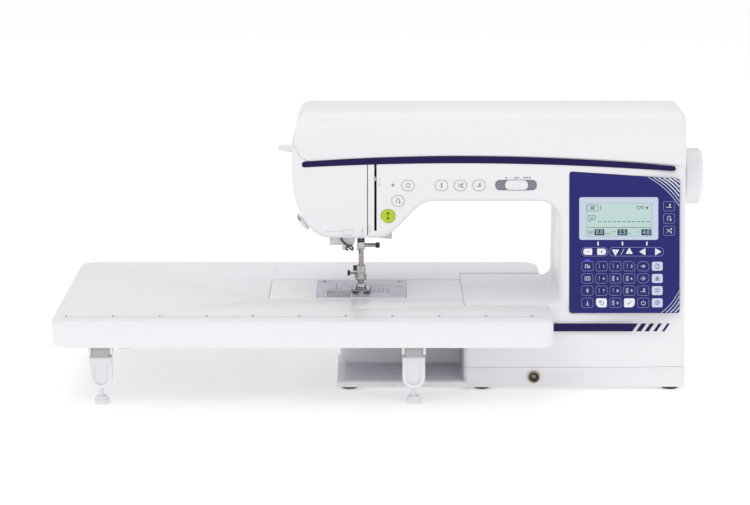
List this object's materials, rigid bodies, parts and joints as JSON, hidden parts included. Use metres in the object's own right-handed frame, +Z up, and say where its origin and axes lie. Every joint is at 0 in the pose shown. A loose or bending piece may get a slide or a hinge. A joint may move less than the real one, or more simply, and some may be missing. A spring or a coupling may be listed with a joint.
{
  "type": "sewing machine",
  "caption": "Computerised sewing and quilting machine with a hinged lid, control panel, free arm and a slide-on extension table on folding legs.",
  "frame": {"origin": "middle of the outer box, on the surface that the machine stands on", "axes": "+X towards the handwheel, +Y away from the person sewing, +Z up"},
  "size_m": [0.71, 0.313, 0.306],
  "materials": {
    "white_shell": "satin moulded plastic",
    "white_table": "smooth satin moulded plastic",
    "navy_panel": "printed membrane film",
    "purple_trim": "gloss inlaid trim",
    "lcd_glass": "reflective display window",
    "green_key": "translucent lit key",
    "grey_plastic": "matt",
    "black_plastic": "matt",
    "clear_plastic": "clear",
    "steel": "bright ground",
    "cast_metal": "as cast",
    "motor_steel": "painted",
    "belt_rubber": "matt",
    "board": "printed circuit board"
  },
  "bodies": {
    "machine": {"base_shell": "white_shell", "front_cover": "white_shell", "rear_cover": "white_shell", "face_cover": "white_shell", "cast_frame": "cast_metal", "accent_strip": "purple_trim", "free_arm_cover": "white_shell", "needle_plate": "steel", "top_deck": "grey_plastic", "control_panel": "navy_panel", "lcd_window": "lcd_glass", "knee_lifter_socket": "black_plastic", "bobbin_case": "black_plastic", "drive_motor": "motor_steel", "timing_belt": "belt_rubber", "drive_belt": "belt_rubber", "circuit_board": "board", "power_inlet": "black_plastic", "spool_pin": "grey_plastic"},
    "lid": {"top_cover": "white_shell"},
    "handle": {"carry_handle": "white_shell"},
    "main_shaft": {"main_shaft": "steel", "handwheel": "white_shell"},
    "motor_rotor": {"motor_pulley": "steel"},
    "lower_shaft": {"lower_shaft": "steel"},
    "hook": {"rotary_hook": "steel"},
    "bobbin": {"bobbin": "clear_plastic"},
    "bobbin_cover": {"bobbin_cover": "clear_plastic"},
    "feed_carrier": {"feed_carrier": "cast_metal"},
    "feed_dogs": {"feed_dogs": "steel"},
    "drop_lever": {"feed_drop_lever": "black_plastic"},
    "needle_bar": {"needle_bar": "steel", "needle_clamp": "steel", "clamp_screw": "black_plastic", "needle": "steel"},
    "takeup": {"takeup_lever": "steel"},
    "presser": {"presser_bar": "steel", "foot_holder": "steel"},
    "foot": {"presser_foot": "steel"},
    "lift_lever": {"lift_lever": "grey_plastic"},
    "threader": {"threader_lever": "white_shell", "threader_hook": "white_shell"},
    "speed_slider": {"speed_slider": "white_shell"},
    "button_start_stop": {"button_start_stop": "green_key"},
    "button_reverse": {"button_reverse": "white_shell"},
    "button_reinforce": {"button_reinforce": "white_shell"},
    "button_needle_position": {"button_needle_position": "white_shell"},
    "button_thread_cut": {"button_thread_cut": "white_shell"},
    "button_foot_lift": {"button_foot_lift": "white_shell"},
    "table": {"table_top": "white_table"},
    "leg_front_left": {"table_leg_front_left": "white_table"},
    "foot_front_left": {"table_foot_front_left": "white_table"},
    "leg_front_right": {"table_leg_front_right": "white_table"},
    "foot_front_right": {"table_foot_front_right": "white_table"},
    "leg_rear_left": {"table_leg_rear_left": "white_table"},
    "foot_rear_left": {"table_foot_rear_left": "white_table"},
    "leg_rear_right": {"table_leg_rear_right": "white_table"},
    "foot_rear_right": {"table_foot_rear_right": "white_table"},
    "winder": {"bobbin_winder": "white_shell"},
    "power_rocker": {"power_switch": "black_plastic"}
  },
  "joints": [
    {"name": "lid_hinge", "type": "hinge", "parent": "machine", "child": "lid", "pos_m": [0.116, 0.0945, 0.262], "axis": [-1, 0, 0], "range_deg": [0, 75]},
    {"name": "handle_hinge", "type": "hinge", "parent": "machine", "child": "handle", "pos_m": [0.259, 0.099, 0.236], "axis": [-1, 0, 0], "range_deg": [-180, 0]},
    {"name": "handwheel_turn", "type": "hinge", "parent": "machine", "child": "main_shaft", "pos_m": [0.345, 0.018, 0.224], "axis": [1, 0, 0], "continuous": true},
    {"name": "motor_turn", "type": "hinge", "parent": "machine", "child": "motor_rotor", "pos_m": [0.301, -0.017, 0.14], "axis": [1, 0, 0], "continuous": true},
    {"name": "lower_shaft_turn", "type": "hinge", "parent": "machine", "child": "lower_shaft", "pos_m": [0.237, 0.018, 0.066], "axis": [1, 0, 0], "continuous": true},
    {"name": "hook_turn", "type": "hinge", "parent": "machine", "child": "hook", "pos_m": [-0.04, -0.02, 0.07], "axis": [0, 0, 1], "continuous": true},
    {"name": "bobbin_turn", "type": "hinge", "parent": "machine", "child": "bobbin", "pos_m": [-0.04, -0.02, 0.084], "axis": [0, 0, 1], "continuous": true},
    {"name": "bobbin_cover_lift", "type": "slide", "parent": "machine", "child": "bobbin_cover", "axis": [0, 0, 1], "range_m": [0, 0.03]},
    {"name": "feed_advance", "type": "slide", "parent": "machine", "child": "feed_carrier", "axis": [0, 1, 0], "range_m": [-0.0025, 0.0025]},
    {"name": "feed_dogs_drop", "type": "slide", "parent": "feed_carrier", "child": "feed_dogs", "axis": [0, 0, 1], "range_m": [-0.0031, 0.0001]},
    {"name": "feed_drop_lever_slide", "type": "slide", "parent": "machine", "child": "drop_lever", "axis": [1, 0, 0], "range_m": [0, 0.012]},
    {"name": "needle_bar_stroke", "type": "slide", "parent": "machine", "child": "needle_bar", "axis": [0, 0, 1], "range_m": [-0.033, 0]},
    {"name": "takeup_swing", "type": "hinge", "parent": "machine", "child": "takeup", "pos_m": [-0.0083, 0.002, 0.2046], "axis": [1, 0, 0], "range_deg": [0, 50]},
    {"name": "presser_lift", "type": "slide", "parent": "machine", "child": "presser", "axis": [0, 0, 1], "range_m": [0, 0.0071]},
    {"name": "foot_tilt", "type": "hinge", "parent": "presser", "child": "foot", "pos_m": [-0.0244, 0.01, 0.1058], "axis": [-1, 0, 0], "range_deg": [0, 8]},
    {"name": "presser_lever", "type": "hinge", "parent": "machine", "child": "lift_lever", "pos_m": [-0.0214, 0.033, 0.1616], "axis": [0, -1, 0], "range_deg": [0, 24]},
    {"name": "threader_pull", "type": "slide", "parent": "machine", "child": "threader", "axis": [0, 0, 1], "range_m": [-0.04, 0], "stiffness_N_per_m": 30, "springref_m": 0.01},
    {"name": "speed_slide", "type": "slide", "parent": "machine", "child": "speed_slider", "axis": [1, 0, 0], "range_m": [-0.0095, 0.0085]},
    {"name": "press_start_stop", "type": "slide", "parent": "machine", "child": "button_start_stop", "axis": [0, 0.9816, -0.191], "range_m": [0, 0.0012], "stiffness_N_per_m": 500, "springref_m": -0.0004},
    {"name": "press_reverse", "type": "slide", "parent": "machine", "child": "button_reverse", "axis": [0, 0.9816, -0.191], "range_m": [0, 0.0012], "stiffness_N_per_m": 500, "springref_m": -0.0004},
    {"name": "press_reinforce", "type": "slide", "parent": "machine", "child": "button_reinforce", "axis": [0, 0.9816, -0.191], "range_m": [0, 0.0012], "stiffness_N_per_m": 500, "springref_m": -0.0004},
    {"name": "press_needle_position", "type": "slide", "parent": "machine", "child": "button_needle_position", "axis": [0, 0.9816, -0.191], "range_m": [0, 0.0012], "stiffness_N_per_m": 500, "springref_m": -0.0004},
    {"name": "press_thread_cut", "type": "slide", "parent": "machine", "child": "button_thread_cut", "axis": [0, 0.9816, -0.191], "range_m": [0, 0.0012], "stiffness_N_per_m": 500, "springref_m": -0.0004},
    {"name": "press_foot_lift", "type": "slide", "parent": "machine", "child": "button_foot_lift", "axis": [0, 0.9816, -0.191], "range_m": [0, 0.0012], "stiffness_N_per_m": 500, "springref_m": -0.0004},
    {"name": "table_slide", "type": "slide", "parent": "machine", "child": "table", "axis": [-1, 0, 0], "range_m": [0, 0.25]},
    {"name": "leg_fold_front_left", "type": "hinge", "parent": "table", "child": "leg_front_left", "pos_m": [-0.304, -0.125, 0.06], "axis": [1, 0, 0], "range_deg": [0, 90]},
    {"name": "foot_screw_front_left", "type": "slide", "parent": "leg_front_left", "child": "foot_front_left", "axis": [0, 0, 1], "range_m": [-0.003, 0.006]},
    {"name": "leg_fold_front_right", "type": "hinge", "parent": "table", "child": "leg_front_right", "pos_m": [0.033, -0.125, 0.06], "axis": [1, 0, 0], "range_deg": [0, 90]},
    {"name": "foot_screw_front_right", "type": "slide", "parent": "leg_front_right", "child": "foot_front_right", "axis": [0, 0, 1], "range_m": [-0.003, 0.006]},
    {"name": "leg_fold_rear_left", "type": "hinge", "parent": "table", "child": "leg_rear_left", "pos_m": [-0.304, 0.125, 0.06], "axis": [-1, 0, 0], "range_deg": [0, 90]},
    {"name": "foot_screw_rear_left", "type": "slide", "parent": "leg_rear_left", "child": "foot_rear_left", "axis": [0, 0, 1], "range_m": [-0.003, 0.006]},
    {"name": "leg_fold_rear_right", "type": "hinge", "parent": "table", "child": "leg_rear_right", "pos_m": [0.033, 0.125, 0.06], "axis": [-1, 0, 0], "range_deg": [0, 90]},
    {"name": "foot_screw_rear_right", "type": "slide", "parent": "leg_rear_right", "child": "foot_rear_right", "axis": [0, 0, 1], "range_m": [-0.003, 0.006]},
    {"name": "winder_shift", "type": "slide", "parent": "machine", "child": "winder", "axis": [1, 0, 0], "range_m": [-0.006, 0]},
    {"name": "power_rock", "type": "hinge", "parent": "machine", "child": "power_rocker", "pos_m": [0.329, 0.048, 0.076], "axis": [0, 1, 0], "range_deg": [0, 8]}
  ],
  "couplings": [
    {"joint": "motor_turn", "follows": "handwheel_turn", "ratio": 1.8},
    {"joint": "lower_shaft_turn", "follows": "handwheel_turn", "ratio": 1},
    {"joint": "hook_turn", "follows": "handwheel_turn", "ratio": 2},
    {"joint": "feed_dogs_drop", "follows": "feed_drop_lever_slide", "ratio": -0.25},
    {"joint": "takeup_swing", "follows": "needle_bar_stroke", "rad_per_m": -26.4},
    {"joint": "presser_lever", "follows": "presser_lift", "rad_per_m": 58.9}
  ]
}
